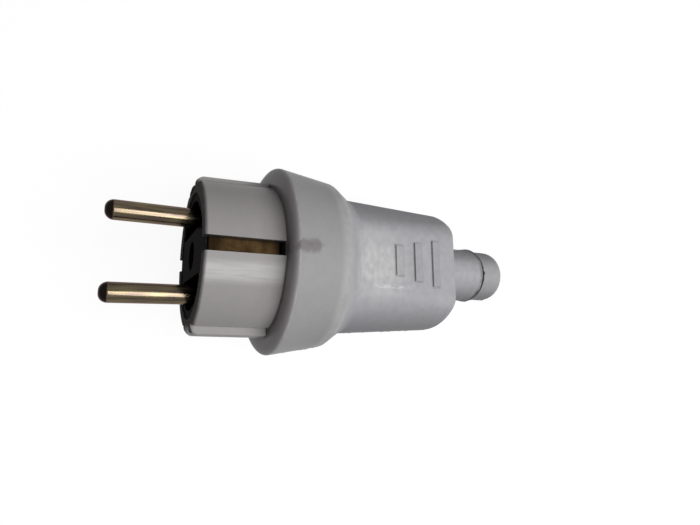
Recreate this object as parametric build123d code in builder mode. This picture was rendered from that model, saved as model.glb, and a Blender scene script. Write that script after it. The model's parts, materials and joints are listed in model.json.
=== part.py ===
from build123d import *
import os
from math import asin, atan2, degrees, hypot, sqrt

# A straight rubber plug for an earthed two-pole socket. All sizes are in millimetres.
# Each piece is drawn about the plug's own axis: +X runs from the front face to the cable,
# the pins stand apart along Y and the earth contacts along Z. At the end all pieces are laid
# down together, as the plug lies on a table on its flange and the heel of its grip.

# Clearances, each side
fit = 0.1
thread_fit = 0.05

# Pins and their terminals
pin_diameter = 4.8
pin_projection = 19.0
pin_spacing = 19.0
pin_tip_round = 2.0
shank_diameter = 5.6
shoulder_diameter = 8.0
shoulder_inset = 3.0
terminal_width = 6.4
terminal_length = 11.0
terminal_edge = 0.4
wire_hole_diameter = 3.2
wire_hole_depth = 7.0
terminal_screw_setback = 3.5

# Barrel of the rubber body
barrel_diameter = 37.0
barrel_length = 17.8
barrel_growth = 0.65
barrel_edge_round = 0.8
guide_flat = 17.0
guide_groove_width = 5.4
guide_rib_width = 2.4
guide_rib_diameter = 39.0
guide_rib_lead = 1.8
earth_slot_width = 3.4

# Flange and cone
flange_diameter = 48.8
flange_rake = 0.1
rim_turn_length = 1.6
rim_turn_depth = 3.9
cone_end = 33.0
cone_fall = 3.5
cone_edge_round = 1.5

# Flattened grip
grip_start = 38.5
grip_step = 3.7
grip_length = 34.4
grip_taper = 0.95
flat_depth = 2.05
flat_fall = 2.6
grip_blend = 6.0
grip_end_round = 3.2
step_round = 3.0

# Raised bars on both flats of the grip
bar_count = 3
bar_start = 50.8
bar_pitch = 6.5
bar_width = 2.8
bar_length = 8.4
bar_growth = 2.4
bar_height = 0.5
bar_root = 1.0
bar_draft = 8.0

# Cable spout
spout_diameter = 16.8
spout_length = 26.0
spout_root_round = 2.5
bead_diameter = 17.8
bead_width = 3.4
bead_round = 0.5
groove_width = 0.8
groove_depth = 0.6
tip_diameter = 16.2
tip_length = 9.8
tip_round = 3.7
cable_entry_diameter = 9.2

# Wiring chamber of the rubber body
chamber_diameter = 28.0
chamber_end = 48.5
chamber_taper_length = 14.0

# Black insert, front half
insert_diameter = 30.8
insert_recess = 0.3
carrier_length = 17.4
lip_thickness = 0.8
carrier_rim_width = 2.0
centre_bar_width = 11.0
pocket_depth = 4.0
pocket_corner = 1.0

# Earth bow
strip_width = 6.0
strip_thickness = 0.8
strip_inset = 0.4
strip_bend = 0.6
strip_end_round = 0.3

# Black insert, rear half
back_thickness = 4.0
ring_height = 0.7
ring_inset = 1.0
ring_width = 1.5

# Cord saddle and clamp
cord_diameter = 9.0
saddle_gap = 17.2
saddle_length = 8.0
saddle_width = 19.6
saddle_depth = 8.5
arm_width = 10.0
arm_thickness = 3.0
clamp_bar_height = 5.5
clamp_bar_round = 1.0
clamp_screw_spacing = 14.4

# Screws and nuts: thread diameter, head diameter and height, reach below the head
front_screw_diameter = 4.0
front_screw_head_diameter = 7.0
front_screw_head_height = 2.2
front_screw_sink = 1.6
front_screw_end = 0.5
front_nut_width = 7.0
front_nut_thickness = 3.0
earth_screw_diameter = 3.5
earth_screw_head_diameter = 6.0
earth_screw_head_height = 2.2
earth_screw_reach = 6.0
earth_screw_offset = 8.7
washer_width = 7.0
washer_thickness = 1.0
washer_margin = 0.6
terminal_screw_diameter = 3.5
terminal_screw_head_diameter = 5.6
terminal_screw_head_height = 2.0
terminal_screw_reach = 2.6
clamp_screw_diameter = 3.0
clamp_screw_head_diameter = 5.6
clamp_screw_head_height = 2.0
clamp_screw_end = 0.3
clamp_nut_width = 5.5
clamp_nut_thickness = 2.4
head_chamfer = 0.5
slot_width = 0.9
slot_depth = 0.9

# Places along the axis that several pieces share
grip_end = grip_start + grip_length
spout_end = grip_end + spout_length
bead_end = spout_end - tip_length - groove_width
carrier_rear = insert_recess + carrier_length
lip_rear = insert_recess + lip_thickness
pocket_floor = insert_recess + pocket_depth
bow_rear = carrier_rear + strip_thickness
back_rear = bow_rear + back_thickness
ring_start = bow_rear + ring_inset
saddle_front = back_rear + saddle_gap
saddle_middle = saddle_front + saddle_length / 2

# Sizes that follow from the ones above
cone_end_diameter = flange_diameter - cone_fall
grip_start_width = cone_end_diameter - 2 * grip_step
grip_start_thickness = grip_start_width - 2 * flat_depth
grip_end_width = grip_start_width - 2 * grip_taper
grip_end_thickness = grip_start_thickness - 2 * flat_fall
rim_crest = barrel_length + flange_rake + rim_turn_length
face_edge = flange_diameter / 2 - rim_turn_depth
insert_bore = insert_diameter / 2 + fit
ring_diameter = insert_diameter + 2 * ring_height
strip_seat = insert_diameter / 2 - strip_inset
bow_reach = strip_seat + strip_thickness
shoulder_length = shoulder_inset + strip_thickness
pin_places = [(pin_spacing / 2, 0), (-pin_spacing / 2, 0)]
clamp_places = [(saddle_middle, clamp_screw_spacing / 2), (saddle_middle, -clamp_screw_spacing / 2)]
os.makedirs("parts", exist_ok=True)
pieces = {}


def barrel_section(plane, growth):
    """A circle flattened beside the pins."""
    with BuildSketch(plane) as section:
        Circle(barrel_diameter / 2 + growth)
        Rectangle(2 * (guide_flat + growth), 2 * (barrel_diameter + growth), mode=Mode.INTERSECT)
    return section.sketch


def rib_section(plane, growth):
    """A bar across the barrel, whose two ends stand out as ribs beside the guide grooves."""
    with BuildSketch(plane) as section:
        with Locations((0, (guide_groove_width + guide_rib_width) / 2)):
            Rectangle(guide_rib_diameter + 2 * growth, guide_rib_width)
        Circle(guide_rib_diameter / 2 + growth, mode=Mode.INTERSECT)
    return section.sketch


def grip_section(plane, width, thickness):
    """A circle with two flats, its corners blended, as the grip is cut across."""
    half = width / 2
    flat = thickness / 2
    chord = sqrt(half**2 - flat**2)
    with BuildSketch(plane) as section:
        with BuildLine():
            Line((-chord, flat), (chord, flat))
            ThreePointArc((chord, flat), (half, 0), (chord, -flat))
            Line((chord, -flat), (-chord, -flat))
            ThreePointArc((-chord, -flat), (-half, 0), (-chord, flat))
        make_face()
        fillet(section.vertices(), grip_blend)
    return section.sketch


def pan_head_screw(seat, diameter, head_diameter, head_height, reach):
    """A slotted screw whose head rests on the seat plane and whose shank goes below it."""
    with BuildPart() as screw:
        with BuildSketch(seat):
            Circle(head_diameter / 2)
        extrude(amount=head_height)
        chamfer(screw.faces().sort_by(Axis(seat.origin, seat.z_dir))[-1].edges(), head_chamfer)
        with BuildSketch(seat.offset(head_height)):
            Rectangle(slot_width, head_diameter)
        extrude(amount=-slot_depth, mode=Mode.SUBTRACT)
        with BuildSketch(seat):
            Circle(diameter / 2)
        extrude(amount=-reach)
    return screw.part


def hex_nut(face, width, thickness, thread_diameter):
    """A hexagon nut that stands on a plane."""
    with BuildPart() as nut:
        with BuildSketch(face):
            RegularPolygon(width / 2, 6, major_radius=False)
            Circle(thread_diameter / 2 + thread_fit, mode=Mode.SUBTRACT)
        extrude(amount=thickness)
    return nut.part


# Rubber body: barrel, flange, cone, grip and spout in one moulding
barrel_rear_plane = Plane.YZ.offset(barrel_length + flange_rake)
with BuildPart() as rib_bar:
    loft([rib_section(Plane.YZ, 0), rib_section(barrel_rear_plane, barrel_growth)], ruled=True)
    front_edges = rib_bar.edges().group_by(Axis.X)[0].sort_by(Axis.Y)
    fillet([front_edges[0], front_edges[-1]], guide_rib_lead)
with BuildSketch(Plane.YZ.offset(cone_end)) as cone_section:
    Circle(cone_end_diameter / 2)
grip_front = grip_section(Plane.YZ.offset(grip_start), grip_start_width, grip_start_thickness)
grip_rear = grip_section(Plane.YZ.offset(grip_end), grip_end_width, grip_end_thickness)

with BuildPart() as rubber_body:
    # Barrel, wider towards the flange, with its ribs
    loft([barrel_section(Plane.YZ, 0), barrel_section(barrel_rear_plane, barrel_growth)], ruled=True)
    fillet(rubber_body.edges().group_by(Axis.X)[0], barrel_edge_round)
    add(rib_bar.part)
    mirror(rib_bar.part, about=Plane.XY)

    # Flange whose face turns back in a quarter ellipse up to the rim, and the cone behind it
    with BuildSketch(Plane.XZ):
        with BuildLine():
            turn = EllipticalCenterArc(
                (rim_crest, face_edge), rim_turn_length, rim_turn_depth, start_angle=90, arc_size=90
            )
            Polyline(
                turn @ 0,
                (cone_end, cone_end_diameter / 2),
                (cone_end, 0),
                (barrel_length, 0),
                turn @ 1,
            )
        make_face()
    revolve(axis=Axis.X)

    # Step down to the flattened grip, rounded at both ends
    loft([cone_section.sketch, grip_front])
    loft([grip_front, grip_rear], ruled=True)
    fillet(rubber_body.faces().sort_by(Axis.X)[-1].edges(), grip_end_round)
    for place, rounding in ((grip_start, step_round), (cone_end, cone_edge_round)):
        crease = rubber_body.edges().filter_by_position(Axis.X, place, place)
        fillet(crease.filter_by(lambda edge: edge.bounding_box().size.X < fit), rounding)

    # Spout with a bead, a groove behind it and a rounded tip
    with BuildSketch(Plane.XZ) as spout_profile:
        with BuildLine():
            Polyline(
                (grip_end - grip_end_round, 0),
                (grip_end - grip_end_round, spout_diameter / 2),
                (bead_end - bead_width, spout_diameter / 2),
                (bead_end, bead_diameter / 2),
                (bead_end, tip_diameter / 2 - groove_depth),
                (bead_end + groove_width, tip_diameter / 2 - groove_depth),
                (bead_end + groove_width, tip_diameter / 2),
                (spout_end, tip_diameter / 2),
                (spout_end, 0),
                close=True,
            )
        make_face()
        fillet(spout_profile.vertices().sort_by(Axis.Y)[-1], bead_round)
        fillet(spout_profile.vertices().group_by(Axis.X)[-1].sort_by(Axis.Y)[-1], tip_round)
    revolve(axis=Axis.X)
    root = rubber_body.edges().filter_by(GeomType.CIRCLE).filter_by_position(Axis.X, grip_end, grip_end)
    fillet(root.sort_by(SortBy.RADIUS)[0], spout_root_round)

    # Raised bars, longer towards the cable
    for side in (1, -1):
        flat = Plane(
            origin=(grip_start, 0, side * grip_start_thickness / 2),
            x_dir=(grip_length, 0, -side * flat_fall),
            z_dir=(flat_fall, 0, side * grip_length),
        )
        with BuildSketch(flat.offset(-bar_root)):
            for index in range(bar_count):
                with Locations((bar_start - grip_start + index * bar_pitch, 0)):
                    Rectangle(bar_width, bar_length + index * bar_growth)
        extrude(amount=bar_root + bar_height, taper=bar_draft)

    # Bore for the insert with a groove for its ring, wiring chamber and cable entry
    with BuildSketch(Plane.XZ):
        with BuildLine():
            Polyline(
                (0, 0),
                (0, insert_bore),
                (ring_start - fit, insert_bore),
                (ring_start - fit, ring_diameter / 2 + fit),
                (ring_start + ring_width + fit, ring_diameter / 2 + fit),
                (ring_start + ring_width + fit, insert_bore),
                (back_rear, insert_bore),
                (back_rear, chamber_diameter / 2),
                (chamber_end, chamber_diameter / 2),
                (chamber_end + chamber_taper_length, cable_entry_diameter / 2),
                (spout_end, cable_entry_diameter / 2),
                (spout_end, 0),
                close=True,
            )
        make_face()
    revolve(axis=Axis.X, mode=Mode.SUBTRACT)

    # Earth slots, open at the front, and the channels in which the bow's legs lie
    with BuildSketch(Plane.XY):
        with Locations((barrel_length / 2, 0)):
            Rectangle(barrel_length, earth_slot_width)
    extrude(amount=barrel_diameter / 2 + barrel_growth, both=True, mode=Mode.SUBTRACT)
    with BuildSketch(Plane.XY):
        with Locations(((lip_rear + bow_rear) / 2, 0)):
            Rectangle(bow_rear - lip_rear + 2 * fit, strip_width + 2 * fit)
    extrude(amount=bow_reach + fit, both=True, mode=Mode.SUBTRACT)
pieces["rubber_body"] = rubber_body.part

# Pin carrier: the black front half of the insert
with BuildPart() as pin_carrier:
    with BuildSketch(Plane.YZ.offset(insert_recess)):
        Circle(insert_diameter / 2)
    extrude(amount=carrier_length)

    # Flat seats for the legs of the bow, behind a thin front lip
    with BuildSketch(Plane.YZ.offset(lip_rear)):
        Circle(insert_diameter / 2)
        Rectangle(insert_diameter, 2 * strip_seat, mode=Mode.SUBTRACT)
    extrude(amount=carrier_rear - lip_rear, mode=Mode.SUBTRACT)
    chamfer(pin_carrier.edges().filter_by(Axis.Y).group_by(Axis.X)[-1], strip_bend)

    # Two pockets round the pins, either side of a centre bar
    with BuildSketch(Plane.YZ.offset(insert_recess)) as pockets:
        Circle(insert_diameter / 2 - carrier_rim_width)
        Rectangle(centre_bar_width, insert_diameter, mode=Mode.SUBTRACT)
        fillet(pockets.vertices(), pocket_corner)
    extrude(amount=pocket_depth, mode=Mode.SUBTRACT)

    # Holes for the pins and their shoulders
    with BuildSketch(Plane.YZ.offset(insert_recess)):
        with Locations(*pin_places):
            Circle(shank_diameter / 2 + fit)
    extrude(amount=carrier_length, mode=Mode.SUBTRACT)
    with BuildSketch(Plane.YZ.offset(carrier_rear)):
        with Locations(*pin_places):
            Circle(shoulder_diameter / 2 + fit)
    extrude(amount=-shoulder_inset, mode=Mode.SUBTRACT)

    # Holes for the front screw and for the end of the earth screw
    with Locations(Plane(origin=(insert_recess, 0, 0), z_dir=(-1, 0, 0))):
        CounterBoreHole(
            radius=front_screw_diameter / 2 + fit,
            counter_bore_radius=front_screw_head_diameter / 2 + fit,
            counter_bore_depth=front_screw_sink + front_screw_head_height,
        )
    with BuildSketch(Plane.YZ.offset(carrier_rear)):
        with Locations((0, earth_screw_offset)):
            Circle(earth_screw_diameter / 2 + fit)
    extrude(amount=-earth_screw_reach, mode=Mode.SUBTRACT)
pieces["pin_carrier"] = pin_carrier.part

# Earth bow: one strip bent round the carrier, with a leg in each slot
with BuildPart() as earth_bow:
    leg_length = bow_rear - lip_rear - fit
    with BuildSketch(Plane.XZ) as bow_profile:
        with Locations((bow_rear - leg_length / 2, 0)):
            Rectangle(leg_length, 2 * bow_reach)
        fillet(bow_profile.vertices().group_by(Axis.X)[-1], strip_bend + strip_thickness)
        fillet(bow_profile.vertices().group_by(Axis.X)[0], strip_end_round)
        with BuildSketch(mode=Mode.PRIVATE) as bow_inside:
            with Locations((carrier_rear - leg_length / 2, 0)):
                Rectangle(leg_length, 2 * strip_seat)
            fillet(bow_inside.vertices().group_by(Axis.X)[-1], strip_bend)
        add(bow_inside.sketch, mode=Mode.SUBTRACT)
    extrude(amount=strip_width / 2, both=True)
    with BuildSketch(Plane.YZ.offset(carrier_rear)):
        Circle(front_screw_diameter / 2 + fit)
        with Locations((0, earth_screw_offset)):
            Circle(earth_screw_diameter / 2 + thread_fit)
    extrude(amount=strip_thickness, mode=Mode.SUBTRACT)
pieces["earth_bow"] = earth_bow.part

# Carrier back: the black rear half of the insert, with an arm to the cord saddle
with BuildPart() as carrier_back:
    with BuildSketch(Plane.YZ.offset(bow_rear)):
        Circle(insert_diameter / 2)
    extrude(amount=back_thickness)
    with BuildSketch(Plane.YZ.offset(ring_start)):
        Circle(ring_diameter / 2)
    extrude(amount=ring_width)
    with BuildSketch(Plane.YZ.offset(back_rear)):
        with Locations((0, -saddle_depth)):
            Rectangle(arm_width, arm_thickness, align=(Align.CENTER, Align.MIN))
    extrude(amount=saddle_gap)
    with BuildSketch(Plane.YZ.offset(saddle_front)):
        Rectangle(saddle_width, saddle_depth, align=(Align.CENTER, Align.MAX))
        Circle(cord_diameter / 2, mode=Mode.SUBTRACT)
    extrude(amount=saddle_length)

    # Square holes for the terminals and a window for the earth terminal
    with BuildSketch(Plane.YZ.offset(bow_rear)):
        with Locations(*pin_places):
            Rectangle(terminal_width + 2 * fit, terminal_width + 2 * fit)
        with Locations((0, earth_screw_offset)):
            Rectangle(washer_width + 2 * washer_margin, washer_width + 2 * washer_margin)
    extrude(amount=back_thickness, mode=Mode.SUBTRACT)

    # Front screw with its nut, and the clamp screws with theirs
    with BuildSketch(Plane.YZ.offset(bow_rear)):
        Circle(front_screw_diameter / 2 + fit)
    extrude(amount=back_thickness, mode=Mode.SUBTRACT)
    with BuildSketch(Plane.YZ.offset(back_rear)):
        RegularPolygon(front_nut_width / 2 + fit, 6, major_radius=False, rotation=90)
    extrude(amount=-front_nut_thickness, mode=Mode.SUBTRACT)
    with BuildSketch(Plane.XY):
        with Locations(*clamp_places):
            Circle(clamp_screw_diameter / 2 + fit)
    extrude(amount=-saddle_depth, mode=Mode.SUBTRACT)
    with BuildSketch(Plane.XY.offset(-saddle_depth)):
        with Locations(*clamp_places):
            RegularPolygon(clamp_nut_width / 2 + fit, 6, major_radius=False)
    extrude(amount=clamp_nut_thickness, mode=Mode.SUBTRACT)
pieces["carrier_back"] = carrier_back.part

# Pins: a round front on a thicker shank with a shoulder, and a square terminal behind it
for name, place in zip(("line_pin", "neutral_pin"), pin_places):
    with BuildPart() as pin:
        with BuildSketch(Plane.YZ.offset(-pin_projection)):
            with Locations(place):
                Circle(pin_diameter / 2)
        extrude(amount=pin_projection + pocket_floor)
        fillet(pin.edges().group_by(Axis.X)[0], pin_tip_round)
        with BuildSketch(Plane.YZ.offset(pocket_floor)):
            with Locations(place):
                Circle(shank_diameter / 2)
        extrude(amount=bow_rear - pocket_floor)
        with BuildSketch(Plane.YZ.offset(bow_rear)):
            with Locations(place):
                Circle(shoulder_diameter / 2)
        extrude(amount=-shoulder_length)
        with BuildSketch(Plane.YZ.offset(bow_rear)):
            with Locations(place):
                RectangleRounded(terminal_width, terminal_width, terminal_edge)
        extrude(amount=terminal_length)
        with BuildSketch(Plane.YZ.offset(bow_rear + terminal_length)):
            with Locations(place):
                Circle(wire_hole_diameter / 2)
        extrude(amount=-wire_hole_depth, mode=Mode.SUBTRACT)
        screw_place = (bow_rear + terminal_length - terminal_screw_setback, place[0])
        with BuildSketch(Plane.XY):
            with Locations(screw_place):
                Circle(terminal_screw_diameter / 2 + thread_fit)
        extrude(amount=terminal_width / 2, mode=Mode.SUBTRACT)
    pieces[name] = pin.part
    pieces[name.replace("pin", "terminal_screw")] = pan_head_screw(
        Plane(origin=(*screw_place, terminal_width / 2)),
        terminal_screw_diameter,
        terminal_screw_head_diameter,
        terminal_screw_head_height,
        terminal_screw_reach,
    )

# Earth terminal: a square washer and a screw on the back of the bow
with BuildPart() as earth_terminal_washer:
    with BuildSketch(Plane.YZ.offset(bow_rear)):
        with Locations((0, earth_screw_offset)):
            Rectangle(washer_width, washer_width)
            Circle(earth_screw_diameter / 2 + fit, mode=Mode.SUBTRACT)
    extrude(amount=washer_thickness)
pieces["earth_terminal_washer"] = earth_terminal_washer.part
pieces["earth_terminal_screw"] = pan_head_screw(
    Plane(origin=(bow_rear + washer_thickness, 0, earth_screw_offset), z_dir=(1, 0, 0)),
    earth_screw_diameter,
    earth_screw_head_diameter,
    earth_screw_head_height,
    earth_screw_reach,
)

# Front screw through both halves of the insert, and its nut
front_screw_seat = insert_recess + front_screw_sink + front_screw_head_height
pieces["front_screw"] = pan_head_screw(
    Plane(origin=(front_screw_seat, 0, 0), z_dir=(-1, 0, 0)),
    front_screw_diameter,
    front_screw_head_diameter,
    front_screw_head_height,
    back_rear + front_screw_end - front_screw_seat,
)
nut_face = Plane(origin=(back_rear - front_nut_thickness, 0, 0), x_dir=(0, 0, 1), z_dir=(1, 0, 0))
pieces["front_screw_nut"] = hex_nut(nut_face, front_nut_width, front_nut_thickness, front_screw_diameter)

# Cord clamp: a bar on the saddle, held by two screws with nuts
with BuildPart() as cord_clamp_bar:
    with BuildSketch(Plane.YZ.offset(saddle_front)):
        Rectangle(saddle_width, clamp_bar_height, align=(Align.CENTER, Align.MIN))
        Circle(cord_diameter / 2, mode=Mode.SUBTRACT)
    extrude(amount=saddle_length)
    fillet(cord_clamp_bar.edges().group_by(Axis.Z)[-1].filter_by(Axis.X), clamp_bar_round)
    with BuildSketch(Plane.XY):
        with Locations(*clamp_places):
            Circle(clamp_screw_diameter / 2 + fit)
    extrude(amount=clamp_bar_height, mode=Mode.SUBTRACT)
pieces["cord_clamp_bar"] = cord_clamp_bar.part
for side, place in zip(("left", "right"), clamp_places):
    pieces[f"cord_clamp_screw_{side}"] = pan_head_screw(
        Plane(origin=(*place, clamp_bar_height)),
        clamp_screw_diameter,
        clamp_screw_head_diameter,
        clamp_screw_head_height,
        clamp_bar_height + saddle_depth - clamp_screw_end,
    )
    pieces[f"cord_clamp_nut_{side}"] = hex_nut(
        Plane(origin=(*place, -saddle_depth)),
        clamp_nut_width,
        clamp_nut_thickness,
        clamp_screw_diameter,
    )

# Resting slope: the line under the plug that touches the heel and the rim or the cone's edge
flat_slope = flat_fall / grip_length
heel_x = grip_end - grip_end_round
heel_z = grip_end_round * hypot(1, flat_slope) - grip_end_thickness / 2 - grip_end_round * flat_slope
supports = [(rim_crest, -flange_diameter / 2), (cone_end, -cone_end_diameter / 2)]
tilt = max(
    atan2(heel_z - z, heel_x - x) - asin(grip_end_round / hypot(heel_x - x, heel_z - z))
    for x, z in supports
)

# Lay the plug down, with the origin on the table under the middle of the whole
tilted = Location((0, 0, 0), (0, degrees(tilt), 0))
box = Compound([piece.moved(tilted) for piece in pieces.values()]).bounding_box()
lying = Location((-box.center().X, -box.center().Y, -box.min.Z)) * tilted
for name, piece in pieces.items():
    laid = piece.moved(lying)
    laid.label = name
    export_step(laid, f"parts/{name}.step")
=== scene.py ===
import bpy
import bmesh
import json
from mathutils import Matrix, Vector, noise


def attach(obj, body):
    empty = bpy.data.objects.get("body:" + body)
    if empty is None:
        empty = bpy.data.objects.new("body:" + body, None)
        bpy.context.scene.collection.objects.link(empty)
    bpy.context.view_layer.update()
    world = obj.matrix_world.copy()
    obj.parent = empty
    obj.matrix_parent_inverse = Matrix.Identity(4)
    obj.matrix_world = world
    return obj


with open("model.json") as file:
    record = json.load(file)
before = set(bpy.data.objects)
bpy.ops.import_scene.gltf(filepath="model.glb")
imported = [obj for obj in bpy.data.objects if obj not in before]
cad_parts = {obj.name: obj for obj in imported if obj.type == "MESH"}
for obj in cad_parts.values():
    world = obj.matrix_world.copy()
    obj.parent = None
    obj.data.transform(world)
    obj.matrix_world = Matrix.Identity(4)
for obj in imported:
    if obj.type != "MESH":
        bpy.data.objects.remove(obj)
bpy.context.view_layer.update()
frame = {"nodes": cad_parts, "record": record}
nodes = frame["nodes"]
mounts = {mount["name"]: mount for mount in frame["record"]["mounts"]}

MM = 0.001

# Sizes and places in the plug's own frame, in millimetres. Places along its axis count from the
# front face towards the cable.
PIN_WALL_MIDDLE = -6.35
PIN_TIP_START = -17.2
BARREL_RADIUS = 18.5
FLANGE_FRONT = 17.8
RIM_EDGE = 19.1
CONE_END = 33.0
GRIP_START = 38.5
GRIP_END = 72.9
SPOUT_GROOVE = (88.3, 89.1)
SLOT_HALF = 1.7
SLOT_TOP = 18.4
BAR_COUNT = 3
BAR_START = 50.8
BAR_PITCH = 6.5
BAR_HALF_WIDTH = 1.4
BAR_HALF_LENGTH = 4.2
BAR_GROWTH = 1.2

# Ridge left by the mould on both sides: where it runs, its sampling and its size. Its grain has
# waves per millimetre, a shift that sets the sides apart, and the shares of the height that are
# always there and that a wave adds.
FLASH_START = 23.0
FLASH_END = 97.0
FLASH_FINE = 0.05
FLASH_STEP = 0.3
FLASH_HEIGHT = 0.2
FLASH_HALF = 0.2
FLASH_SINK = 0.05
FLASH_GRAIN = 1.1
FLASH_SHIFT = 7.3
FLASH_LEAST = 0.35
FLASH_RISE = 1.6

# Where a surface changes: the places between which one tone turns into another
PIN_TIP_FADE = (PIN_TIP_START + 0.12, PIN_TIP_START - 0.12)
STRIP_FRONT = (6.0, 2.5)
FRONT_FACE = (0.8, 0.2)
FRONT_MATT = (0.9, 0.3)
BARREL_FADE = (FLANGE_FRONT, FLANGE_FRONT - 0.3)
BARREL_SHADE = (10.5, FLANGE_FRONT)
BARREL_SHADE_END = (FLANGE_FRONT, FLANGE_FRONT - 0.1)
BARREL_SHADE_ACROSS = (-15.0, -6.0)
SLOT_SIDE = (SLOT_HALF + 0.15, SLOT_HALF + 0.03)
SLOT_END = (FLANGE_FRONT + 0.15, FLANGE_FRONT + 0.05)
SLOT_MOUTH = (SLOT_TOP, SLOT_TOP - 0.3)
FLANGE_FACE = (FLANGE_FRONT - 0.1, FLANGE_FRONT)
FLANGE_CORNER = (BARREL_RADIUS + 3.0, BARREL_RADIUS + 0.5)
RIM_FADE = (RIM_EDGE, RIM_EDGE - 0.2)
GRIP_FADE = (CONE_END - 1.0, CONE_END + 3.0)
SPOUT_FADE = (GRIP_END - 0.5, GRIP_END + 0.5)
UPPER_SIDE = (6.0, 12.0)

# Marks of use, painted shade and painted highlights: points, with the distances at which a mark
# starts and is full, and bands, with a centre, the half width where they are full and the half
# width where they end
# A band of scratches with a painted sheen along the barrel
SHEEN_AND_SCUFF = (-5.8, 0.7, 3.2)
# Chalk marks with a painted highlight on the grip
CHALK = (44.0, -1.5, 16.6)
CHALK_REACH = (12.0, 2.0)
STREAK_ALONG = (48.0, 3.0, 7.5)
STREAK_ACROSS = (-7.2, 0.1, 0.9)
# Painted highlights on the flange's rim and at the cone's end
RIM_HIGHLIGHT = (RIM_EDGE, 0.12, 0.4)
CONE_END_HIGHLIGHT = (CONE_END - 0.4, 0.8, 3.0)
BAR_TOP = (0.0, -0.1)
# Painted shade in a thin frame round each bar's foot
BAR_FOOT = (0.1, 0.1, 0.35)
SMUDGES = ((20.0, -0.1, 24.3), (22.8, 0.0, 23.5))
SMUDGE_REACH = (3.8, 2.4)
SMUDGE_RAGGED = 3.0
# Painted shade in the spout's groove, and beside it towards the sides
GROOVE_LINE = (sum(SPOUT_GROOVE) / 2, 0.45, 0.95)
GROOVE_BESIDE = (SPOUT_GROOVE[0] - 0.4, 0.4, 1.2)
GROOVE_SIDES = (3.5, 7.5)
# Painted shade in small nicks along the groove
NICKS = ((89.1, -0.2, 8.1), (88.9, -2.3, 7.8))
NICK_REACH = (0.9, 0.4)
# Parting ridge, with dark specks and painted glints
RIDGE = (0.0, 0.2, 0.4)

# Colours of the rubber: as moulded, rubbed and dirty, and painted shade, sheen and highlights
CONE_GREY = (0.335, 0.333, 0.333)
BARREL_GREY = (0.335, 0.320, 0.316)
GRIP_GREY = (0.422, 0.418, 0.440)
TIP_GREY = (0.34, 0.337, 0.35)
MOTTLE_GREY = (0.30, 0.297, 0.30)
# Painted shade towards the rubber's sides, on the body and on the spout
SIDE_SHADE_GREY = (0.19, 0.19, 0.205)
SPOUT_SIDE_SHADE_GREY = (0.19, 0.19, 0.2)
# Painted light on the flange's front face
FLANGE_LIT_GREY = (0.43, 0.40, 0.415)
# Painted sheen with scratches on the barrel
SHEEN_AND_SCUFF_GREY = (0.50, 0.49, 0.483)
# Painted highlight on edges
EDGE_HIGHLIGHT_GREY = (0.48, 0.475, 0.475)
# Chalk with a painted highlight
HIGHLIGHT_AND_CHALK_WHITE = (0.565, 0.565, 0.56)
FLECK_WHITE = (0.75, 0.75, 0.75)
# Painted glints on the parting ridge
SPECK_GLINT = (0.65, 0.65, 0.65)
SPECK_DIRT = (0.13, 0.12, 0.115)
# Painted shade on the front face, in the corner at the flange, on the barrel near the flange and in
# the earth slots
FRONT_SHADE = (0.15, 0.142, 0.14)
CORNER_SHADE = (0.06, 0.053, 0.057)
BARREL_SHADE_GREY = (0.10, 0.092, 0.088)
SLOT_SHADE = (0.03, 0.027, 0.028)
BAR_TOP_DIRT = (0.25, 0.25, 0.255)
# Painted shade round the bars' feet
BAR_FOOT_SHADE = (0.12, 0.12, 0.125)
SMUDGE_DIRT = (0.18, 0.165, 0.175)
# Painted shade in the spout's groove
GROOVE_SHADE = (0.05, 0.05, 0.052)
NICK_SHADE = (0.04, 0.04, 0.042)

# Colours of the plastic and the metals, with a painted tint for the pins' reflections
PLASTIC_BLACK = (0.008, 0.008, 0.009)
PLASTIC_DUST = (0.022, 0.021, 0.02)
PIN_BROWN = (0.074, 0.055, 0.049)
PIN_BRASS = (0.147, 0.119, 0.072)
PIN_BRIGHT = (0.165, 0.138, 0.074)
PIN_TIP_BLACK = (0.012, 0.009, 0.009)
# Painted reflection: a brownish tint of the pins' glancing reflections, for brown surroundings
PIN_GLANCE_TINT = (0.78, 0.68, 0.68)
STRIP_STAIN = (0.018, 0.010, 0.0045)
STRIP_BRASS = (0.045, 0.028, 0.012)
STRIP_DARK = (0.003, 0.002, 0.001)
STRIP_LINE = (0.018, 0.011, 0.005)
ZINC_DULL = (0.42, 0.42, 0.40)
ZINC_BRIGHT = (0.62, 0.62, 0.60)

# The studio, in metres and watts, with its lamps in the plug's own frame
FLOOR_HALF = 3.0
FLOOR_GREY = (0.10, 0.10, 0.10)
FLOOR_GLOW = 0.93
GLOW_WHITE = (1.0, 1.0, 1.0)
WORLD_GREY = (0.8, 0.8, 0.8)
WORLD_DIM = 0.05
WORLD_SEEN = 1.0
LAMPS = {
    "key": {
        "place": (0.20, -0.15, 0.55),
        "target": (0.03, 0, 0),
        "size": (0.42, 0.46),
        "watts": 2.95,
    },
    "strip": {
        "place": (0.02, -0.13, 0.55),
        "target": (-0.01, 0, 0),
        "size": (0.12, 0.36),
        "watts": 0.75,
    },
}

# The photograph: its width and focal length in pixels, and the camera in the plug's own frame
PHOTO_WIDTH = 700
PHOTO_FOCAL = 444.06
SENSOR_WIDTH = 36.0
CLIP_START = 0.01
CAMERA_PLACE = (-16.62, -19.74, 112.35)
CAMERA_RIGHT = (0.87942, -0.01107, 0.47593)
CAMERA_UP = (-0.06814, 0.98651, 0.14886)


def plug_frame():
    """The plug's own frame: origin on the front face, X to the cable, Z to the upper earth slot."""
    along = Vector(mounts["cable_entry"]["axis"])
    across = Vector((0, 1, 0))
    pins = [Vector(mounts[name]["pos_m"]) for name in ("line_pin", "neutral_pin")]
    origin = (pins[0] + pins[1]) / 2 - along * PIN_WALL_MIDDLE * MM
    matrix = Matrix((along, across, along.cross(across))).transposed().to_4x4()
    matrix.translation = origin
    return matrix


PLUG = plug_frame()


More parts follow.
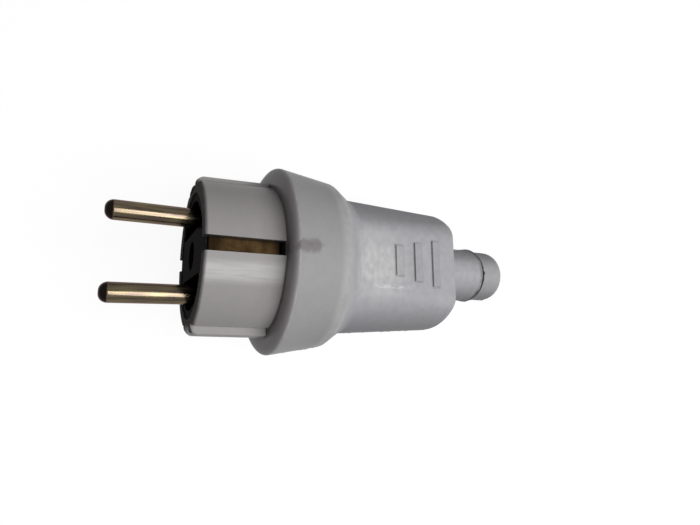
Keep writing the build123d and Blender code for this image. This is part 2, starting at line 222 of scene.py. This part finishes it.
class Shader:
    """Nodes of a material or a world. Inputs are values, colours or outputs of other nodes."""

    def __init__(self, owner):
        owner.use_nodes = True
        self.owner = owner
        self.tree = owner.node_tree
        self.tree.nodes.clear()

    def put(self, socket, value):
        """Links a socket to another node's output, or gives it a value or a colour."""
        if isinstance(value, bpy.types.NodeSocket):
            self.tree.links.new(value, socket)
        elif socket.type == "RGBA":
            socket.default_value = (*value, 1.0)
        else:
            socket.default_value = value

    def add(self, kind, inputs=None, **settings):
        """A new node. Its inputs are named, or numbered where names aren't unique."""
        made = self.tree.nodes.new("ShaderNode" + kind)
        for name, value in settings.items():
            setattr(made, name, value)
        for name, value in (inputs or {}).items():
            self.put(made.inputs[name], value)
        return made

    def place(self):
        """The shaded point in the plug's own frame, in millimetres."""
        inverse = PLUG.inverted()
        inputs = {
            "Vector": self.add("TexCoord").outputs["Object"],
            "Location": inverse.translation / MM,
            "Rotation": inverse.to_euler(),
            "Scale": (1 / MM,) * 3,
        }
        return self.add("Mapping", inputs).outputs["Vector"]

    def split(self, vector):
        return self.add("SeparateXYZ", {"Vector": vector}).outputs

    def noise(self, vector, scale, detail=3.0, stretch=(1, 1, 1), distortion=0.0):
        """Noise with a number of features per millimetre, from 0 to 1."""
        stretched = self.add("Mapping", {"Vector": vector, "Scale": stretch}).outputs["Vector"]
        inputs = {"Vector": stretched, "Scale": scale, "Detail": detail, "Distortion": distortion}
        return self.add("TexNoise", inputs).outputs["Fac"]

    def ramp(self, value, low, high, start=0.0, end=1.0):
        """A value carried smoothly from the range low to high into start to end."""
        inputs = {"Value": value, "From Min": low, "From Max": high, "To Min": start, "To Max": end}
        return self.add("MapRange", inputs, interpolation_type="SMOOTHSTEP").outputs["Result"]

    def math(self, operation, *values):
        return self.add("Math", dict(enumerate(values)), operation=operation).outputs["Value"]

    def product(self, first, *others):
        for other in others:
            first = self.math("MULTIPLY", first, other)
        return first

    def greatest(self, first, *others):
        for other in others:
            first = self.math("MAXIMUM", first, other)
        return first

    def offset(self, value, centre):
        """How far a value is from a centre."""
        return self.math("ABSOLUTE", self.math("SUBTRACT", value, centre))

    def band(self, value, centre, half, edge):
        """One within half of a centre, and nothing from edge on."""
        return self.ramp(self.offset(value, centre), edge, half)

    def distance(self, place, point):
        inputs = {0: place, 1: point}
        return self.add("VectorMath", inputs, operation="DISTANCE").outputs["Value"]

    def radius(self, place):
        """How far a point is from the plug's axis."""
        inputs = {0: place, 1: (0, 1, 1)}
        flat = self.add("VectorMath", inputs, operation="MULTIPLY").outputs["Vector"]
        return self.distance(flat, (0, 0, 0))

    def mix(self, share, first, second):
        """A colour between two, through the Mix node's numbered colour sockets."""
        inputs = {0: share, 6: first, 7: second}
        return self.add("Mix", inputs, data_type="RGBA").outputs[2]

    def bump(self, height, depth, normal=None):
        """A normal for a height from 0 to 1 that stands for a depth in millimetres."""
        inputs = {"Height": height, "Distance": depth * MM, "Strength": 1.0}
        if normal is not None:
            inputs["Normal"] = normal
        return self.add("Bump", inputs).outputs["Normal"]

    def seen(self):
        """One where the camera looks: straight, in a reflection or through something clear."""
        path = self.add("LightPath").outputs
        rays = ("Is Camera Ray", "Is Glossy Ray", "Is Transmission Ray")
        return self.greatest(*(path[ray] for ray in rays))

    def finish(self, **inputs):
        """The material with its surface, whose inputs are named with underscores for spaces."""
        named = {name.replace("_", " "): value for name, value in inputs.items()}
        surface = self.add("BsdfPrincipled", named)
        self.add("OutputMaterial", {"Surface": surface.outputs["BSDF"]})
        return self.owner


def new_material(name):
    return Shader(bpy.data.materials.new(name))


def rubber_tone(s, place, mottle):
    """A warm grey in front and a paler one on the grip, mottled, with painted shade darker towards
    the sides.
    """
    along, across, up = s.split(place)
    base = s.mix(s.ramp(along, *BARREL_FADE), CONE_GREY, BARREL_GREY)
    base = s.mix(s.ramp(along, *GRIP_FADE), base, GRIP_GREY)
    base = s.mix(s.ramp(along, *SPOUT_GROOVE, 0.0, 0.4), base, TIP_GREY)
    base = s.mix(s.ramp(mottle, 0.3, 0.75, 0.0, 0.4), base, MOTTLE_GREY)
    # Painted shade: darker towards the upper and lower sides, most below, growing from the flange
    # to the grip
    side = s.math("SINE", s.math("ARCTAN2", across, up))
    sides = s.greatest(s.ramp(side, -0.5, -1.0, 0.0, 0.65), s.ramp(side, 0.3, 0.7, 0.0, 0.38))
    sides = s.product(sides, s.ramp(along, FLANGE_FRONT, GRIP_START))
    base = s.mix(sides, base, SIDE_SHADE_GREY)
    # Painted shade on the spout's sides
    spout_sides = s.ramp(s.offset(side, 0.0), 0.1, 0.6, 0.0, 0.27)
    spout_sides = s.product(s.ramp(along, *SPOUT_FADE), spout_sides)
    return s.mix(spout_sides, base, SPOUT_SIDE_SHADE_GREY)


def rubber_wear(s, place, mottle, base):
    """Scratches with a painted sheen on the barrel, chalk with a painted highlight and a streak on
    the grip, and painted highlights on edges.
    """
    along, across, up = s.split(place)
    upper = s.ramp(up, *UPPER_SIDE)
    # A lighter band below the earth slot: scratches with a painted sheen
    scratches = s.noise(place, 1.6, detail=4.0, stretch=(0.08, 1.0, 1.0))
    sheen_and_scuff = s.product(s.ramp(along, *BARREL_FADE), upper, s.band(across, *SHEEN_AND_SCUFF))
    sheen_and_scuff = s.product(sheen_and_scuff, s.ramp(scratches, 0.3, 0.6, 0.6, 1.0))
    base = s.mix(sheen_and_scuff, base, SHEEN_AND_SCUFF_GREY)

    # Chalky marks on the grip and a painted highlight where it faces the light
    patches = s.noise(place, 0.6, detail=10.0, stretch=(1.0, 0.6, 0.6), distortion=0.15)
    chalk = s.ramp(s.distance(place, CHALK), *CHALK_REACH)
    chalk = s.product(chalk, s.ramp(patches, 0.34, 0.68, 0.3, 0.95))
    chalk = s.product(chalk, s.ramp(along, CONE_END, GRIP_START))
    base = s.mix(chalk, base, HIGHLIGHT_AND_CHALK_WHITE)

    flecks = s.noise(place, 2.4, detail=5.0, stretch=(0.2, 1.0, 1.0))
    streak = s.product(s.band(across, *STREAK_ACROSS), s.band(along, *STREAK_ALONG))
    streak = s.product(streak, s.ramp(flecks, 0.4, 0.65), upper, 0.5)
    base = s.mix(streak, base, FLECK_WHITE)

    # Painted highlights: pale lines on the flange's rim and, weaker, at the cone's end
    edges = s.greatest(s.band(along, *RIM_HIGHLIGHT), s.product(s.band(along, *CONE_END_HIGHLIGHT), 0.6))
    edges = s.product(edges, s.ramp(mottle, 0.3, 0.6, 0.4, 0.9))
    return s.mix(edges, base, EDGE_HIGHLIGHT_GREY)


def barrel_shade_and_light(s, place, mottle, base):
    """Painted shade on the front face, on the barrel towards the flange, in their corner and in the
    earth slots, and painted light on the flange's front face.
    """
    along, across, up = s.split(place)
    # Painted shade on the front face, mottled
    front = s.product(s.ramp(along, *FRONT_FACE), s.ramp(mottle, 0.3, 0.6, 0.55, 0.8))
    base = s.mix(front, base, FRONT_SHADE)

    # Painted light: the flange's front face paler, as if more light reached it
    flange = s.product(s.ramp(along, *FLANGE_FACE), s.ramp(along, *RIM_FADE))
    base = s.mix(flange, base, FLANGE_LIT_GREY)
    # Painted shade in the corner where the flange meets the barrel
    corner = s.product(flange, s.ramp(s.radius(place), *FLANGE_CORNER, 0.0, 0.6))
    base = s.mix(corner, base, CORNER_SHADE)
    # Painted shade on the barrel towards the flange, weaker on its lower side
    shade = s.product(s.ramp(along, *BARREL_SHADE), s.ramp(along, *BARREL_SHADE_END))
    shade = s.product(shade, s.ramp(across, *BARREL_SHADE_ACROSS, 0.1, 0.45))
    base = s.mix(shade, base, BARREL_SHADE_GREY)

    # Painted shade on the walls of the earth slots
    slot = s.product(
        s.ramp(s.offset(across, 0.0), *SLOT_SIDE),
        s.ramp(along, *SLOT_END),
        s.ramp(s.offset(up, 0.0), *SLOT_MOUTH),
    )
    return s.mix(slot, base, SLOT_SHADE)


def grip_dirt_and_shade(s, place, mottle, base):
    """Dirt on the grip's bars with painted shade round them, dirt smudges on the cone, and painted
    shade in the spout's groove and its nicks.
    """
    along, across, up = s.split(place)
    upper = s.ramp(up, *UPPER_SIDE)
    for index in range(BAR_COUNT):
        middle = BAR_START + index * BAR_PITCH
        half_length = BAR_HALF_LENGTH + index * BAR_GROWTH
        from_side = s.math("SUBTRACT", s.offset(along, middle), BAR_HALF_WIDTH)
        from_end = s.math("SUBTRACT", s.offset(across, 0.0), half_length)
        outside = s.greatest(from_side, from_end)
        base = s.mix(s.product(s.ramp(outside, *BAR_TOP), upper, 0.2), base, BAR_TOP_DIRT)
        # Painted shade in a thin frame round the bar's foot
        base = s.mix(s.product(s.band(outside, *BAR_FOOT), upper, 0.26), base, BAR_FOOT_SHADE)

    ragged = s.product(s.noise(place, 0.6, detail=4.0), SMUDGE_RAGGED)
    for smudge in SMUDGES:
        reach = s.math("ADD", s.distance(place, smudge), ragged)
        base = s.mix(s.ramp(reach, *SMUDGE_REACH, 0.0, 0.75), base, SMUDGE_DIRT)

    # Painted shade: a dark line in the spout's groove and a band in front of it, stronger towards
    # the sides
    sides = s.ramp(s.offset(across, 0.0), *GROOVE_SIDES, 0.4, 1.0)
    beside = s.product(s.band(along, *GROOVE_BESIDE), sides)
    groove = s.greatest(s.band(along, *GROOVE_LINE), beside)
    groove = s.product(groove, s.ramp(mottle, 0.3, 0.55, 0.5, 1.0))
    base = s.mix(groove, base, GROOVE_SHADE)
    # Painted shade in small nicks along the groove
    for nick in NICKS:
        base = s.mix(s.ramp(s.distance(place, nick), *NICK_REACH), base, NICK_SHADE)
    return base


def ridge_specks(s, place, base):
    """Dark specks and pale painted glints on the parting ridge."""
    along, _, up = s.split(place)
    ridge = s.product(s.band(up, *RIDGE), s.ramp(along, FLASH_START - 1.0, FLASH_START))
    specks = s.noise(place, 0.8, detail=2.0)
    base = s.mix(s.product(ridge, s.ramp(specks, 0.5, 0.4), 0.5), base, SPECK_DIRT)
    # Painted glints: pale specks on the ridge
    return s.mix(s.product(ridge, s.ramp(specks, 0.52, 0.6), 0.5), base, SPECK_GLINT)


def grey_rubber():
    """Moulded rubber, used and dirty, with painted shade, sheen and highlights, shinier on the
    barrel and cone than on the grip.
    """
    s = new_material("grey_rubber")
    place = s.place()
    along = s.split(place)[0]
    mottle = s.noise(place, 0.5, detail=5.0, distortion=0.5)
    base = rubber_tone(s, place, mottle)
    base = rubber_wear(s, place, mottle, base)
    base = barrel_shade_and_light(s, place, mottle, base)
    base = grip_dirt_and_shade(s, place, mottle, base)
    base = ridge_specks(s, place, base)
    roughness = s.ramp(along, *GRIP_FADE, 0.38, 0.55)
    waves = s.bump(s.noise(place, 0.9), 0.03)
    return s.finish(
        Base_Color=base,
        Roughness=s.greatest(roughness, s.ramp(along, *FRONT_MATT, 0.0, 0.9)),
        Specular_IOR_Level=0.12,
        Normal=s.bump(s.noise(place, 4.0), 0.01, waves),
    )


def black_plastic():
    """Black moulding with a little dust."""
    s = new_material("black_plastic")
    place = s.place()
    dust = s.ramp(s.noise(place, 1.6, detail=6.0), 0.55, 0.8)
    return s.finish(
        Base_Color=s.mix(dust, PLASTIC_BLACK, PLASTIC_DUST),
        Roughness=s.ramp(dust, 0.0, 1.0, 0.3, 0.55),
        Specular_IOR_Level=0.0,
        Coat_Weight=0.03,
        Coat_Roughness=0.25,
        Normal=s.bump(s.noise(place, 0.6, detail=2.0), 0.02),
    )


def pin_metal():
    """Worn plated brass, drawn lengthwise, with black rounded tips."""
    s = new_material("pin_metal")
    place = s.place()
    along = s.split(place)[0]
    streaks = s.noise(place, 2.2, detail=6.0, stretch=(0.05, 1.0, 1.0))
    patches = s.noise(place, 0.5, detail=3.0, stretch=(0.3, 1.0, 1.0))
    tint = s.mix(s.ramp(streaks, 0.35, 0.65), PIN_BROWN, PIN_BRASS)
    tint = s.mix(s.ramp(patches, 0.45, 0.75, 0.0, 0.5), tint, PIN_BRIGHT)
    return s.finish(
        Base_Color=s.mix(s.ramp(along, *PIN_TIP_FADE), tint, PIN_TIP_BLACK),
        Metallic=1.0,
        # Painted reflection: glancing reflections tinted brownish
        Specular_Tint=PIN_GLANCE_TINT,
        Roughness=s.ramp(streaks, 0.3, 0.7, 0.12, 0.2),
        Normal=s.bump(streaks, 0.001),
    )


def earth_brass():
    """Tarnished brass strip with cloudy stains, darkest at its front."""
    s = new_material("earth_brass")
    place = s.place()
    along = s.split(place)[0]
    stain = s.noise(place, 0.35, detail=4.0, distortion=0.4)
    lines = s.noise(place, 0.8, detail=4.0, stretch=(1.0, 0.1, 1.0))
    tint = s.mix(s.ramp(stain, 0.35, 0.7), STRIP_STAIN, STRIP_BRASS)
    tint = s.mix(s.ramp(along, *STRIP_FRONT, 0.0, 0.8), tint, STRIP_DARK)
    return s.finish(
        Base_Color=s.mix(s.ramp(lines, 0.4, 0.75, 0.0, 0.5), tint, STRIP_LINE),
        Metallic=1.0,
        Roughness=s.ramp(stain, 0.3, 0.7, 0.45, 0.32),
        Normal=s.bump(lines, 0.004),
    )


def plated_steel():
    """Zinc-plated steel of the screws and nuts."""
    s = new_material("plated_steel")
    place = s.place()
    cloud = s.noise(place, 0.8, detail=5.0)
    return s.finish(
        Base_Color=s.mix(s.ramp(cloud, 0.3, 0.7), ZINC_DULL, ZINC_BRIGHT),
        Metallic=1.0,
        Roughness=s.ramp(cloud, 0.3, 0.7, 0.28, 0.42),
        Normal=s.bump(s.noise(place, 3.0), 0.006),
    )


def dress_nodes():
    """Gives every CAD node the material of its slot, and returns the materials by name."""
    makers = (grey_rubber, black_plastic, pin_metal, earth_brass, plated_steel)
    made = {maker.__name__: maker() for maker in makers}
    for subpart in frame["record"]["subparts"]:
        mesh = nodes[subpart["node"]].data
        mesh.materials.clear()
        mesh.materials.append(made[subpart["material_slot"]])
    return made


def parting_cut():
    """The rubber body's edges in its parting plane, each as two points in millimetres."""
    body = nodes["rubber_body"]
    section = bmesh.new()
    section.from_mesh(body.data)
    section.transform(PLUG.inverted() @ body.matrix_world)
    section.transform(Matrix.Scale(1 / MM, 4))
    everything = section.verts[:] + section.edges[:] + section.faces[:]
    cut = bmesh.ops.bisect_plane(section, geom=everything, plane_co=(0, 0, 0), plane_no=(0, 0, 1))
    edges = [item for item in cut["geom_cut"] if isinstance(item, bmesh.types.BMEdge)]
    spans = [sorted((vert.co.x, vert.co.y) for vert in edge.verts) for edge in edges]
    section.free()
    return spans


def side_outline():
    """The rubber body's outer edge in its parting plane, as points evenly spaced on one side."""
    spans = parting_cut()
    points = []
    for index in range(int((FLASH_END - FLASH_START) / FLASH_FINE)):
        x = FLASH_START + index * FLASH_FINE
        heights = [
            near[1] + (far[1] - near[1]) * (x - near[0]) / (far[0] - near[0])
            for near, far in spans
            if near[0] <= x < far[0]
        ]
        point = Vector((x, max(heights)))
        if not points or (point - points[-1]).length >= FLASH_STEP:
            points.append(point)
    return points


def add_parting_flash(material):
    """A thin uneven ridge on both sides, where the halves of the mould met."""
    points = side_outline()
    verts, faces = [], []
    for side in (1, -1):
        first = len(verts)
        for index, point in enumerate(points):
            run = points[min(index + 1, len(points) - 1)] - points[max(index - 1, 0)]
            outward = Vector((-run.y, run.x)).normalized()
            wave = (point.x * FLASH_GRAIN, point.y * FLASH_GRAIN, side * FLASH_SHIFT)
            share = FLASH_LEAST + max(noise.noise(wave), 0) * FLASH_RISE
            foot = point - outward * FLASH_SINK
            crest = point + outward * (FLASH_HEIGHT * share)
            for (x, y), z in ((foot, -FLASH_HALF), (crest, 0), (foot, FLASH_HALF)):
                verts.append(PLUG @ (Vector((x, side * y, z)) * MM))
        for index in range(len(points) - 1):
            for strip in range(2):
                corner = first + 3 * index + strip
                face = (corner, corner + 1, corner + 4, corner + 3)
                faces.append(face if side > 0 else face[::-1])
    mesh = bpy.data.meshes.new("parting_flash")
    mesh.from_pydata(verts, [], faces)
    mesh.materials.append(material)
    flash = bpy.data.objects.new("parting_flash", mesh)
    bpy.context.scene.collection.objects.link(flash)
    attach(flash, "root")


def floor_material():
    """White to the camera and in reflections, and a plain surface that takes the shadow."""
    s = new_material("floor")
    surface = s.add("BsdfDiffuse", {"Color": FLOOR_GREY})
    strength = s.product(s.seen(), FLOOR_GLOW)
    glow = s.add("Emission", {"Color": GLOW_WHITE, "Strength": strength})
    both = s.add("AddShader", {0: surface.outputs["BSDF"], 1: glow.outputs["Emission"]})
    s.add("OutputMaterial", {"Surface": both.outputs["Shader"]})
    return s.owner


def add_floor():
    """A wide floor under the plug, as part of the stage."""
    square = ((-1, -1), (1, -1), (1, 1), (-1, 1))
    corners = [(x * FLOOR_HALF, y * FLOOR_HALF, 0) for x, y in square]
    mesh = bpy.data.meshes.new("floor")
    mesh.from_pydata(corners, [], [(0, 1, 2, 3)])
    mesh.materials.append(floor_material())
    floor = bpy.data.objects.new("floor", mesh)
    bpy.context.scene.collection.objects.link(floor)


def add_world():
    """Dim surroundings that look white behind the object and in reflections."""
    s = Shader(bpy.data.worlds.new("studio"))
    strength = s.ramp(s.seen(), 0.0, 1.0, WORLD_DIM, WORLD_SEEN)
    background = s.add("Background", {"Color": WORLD_GREY, "Strength": strength})
    s.add("OutputWorld", {"Surface": background.outputs["Background"]})
    bpy.context.scene.world = s.owner


def add_lamp(name, place, target, size, watts):
    """A soft rectangular lamp that looks from one point of the plug's frame to another."""
    data = bpy.data.lights.new(name, "AREA")
    data.shape = "RECTANGLE"
    data.size, data.size_y = size
    data.energy = watts
    lamp = bpy.data.objects.new(name, data)
    back = (Vector(place) - Vector(target)).normalized()
    side = (Vector((1, 0, 0)) - back * back.x).normalized()
    turn = Matrix((side, back.cross(side), back)).transposed().to_4x4()
    lamp.matrix_world = PLUG @ Matrix.Translation(place) @ turn
    bpy.context.scene.collection.objects.link(lamp)


def add_camera():
    """The photograph's camera, close above the plug."""
    right = Vector(CAMERA_RIGHT).normalized()
    up = Vector(CAMERA_UP)
    up = (up - right * up.dot(right)).normalized()
    turn = Matrix((right, up, right.cross(up))).transposed().to_4x4()
    data = bpy.data.cameras.new("camera")
    data.sensor_fit = "HORIZONTAL"
    data.sensor_width = SENSOR_WIDTH
    data.lens = PHOTO_FOCAL * SENSOR_WIDTH / PHOTO_WIDTH
    data.clip_start = CLIP_START
    camera = bpy.data.objects.new("camera", data)
    camera.matrix_world = PLUG @ Matrix.Translation(Vector(CAMERA_PLACE) * MM) @ turn
    bpy.context.scene.collection.objects.link(camera)
    bpy.context.scene.camera = camera


materials = dress_nodes()
add_parting_flash(materials["grey_rubber"])
add_floor()
add_world()
for lamp_name, lamp_settings in LAMPS.items():
    add_lamp(lamp_name, **lamp_settings)
add_camera()
bpy.context.scene.view_settings.view_transform = "Standard"
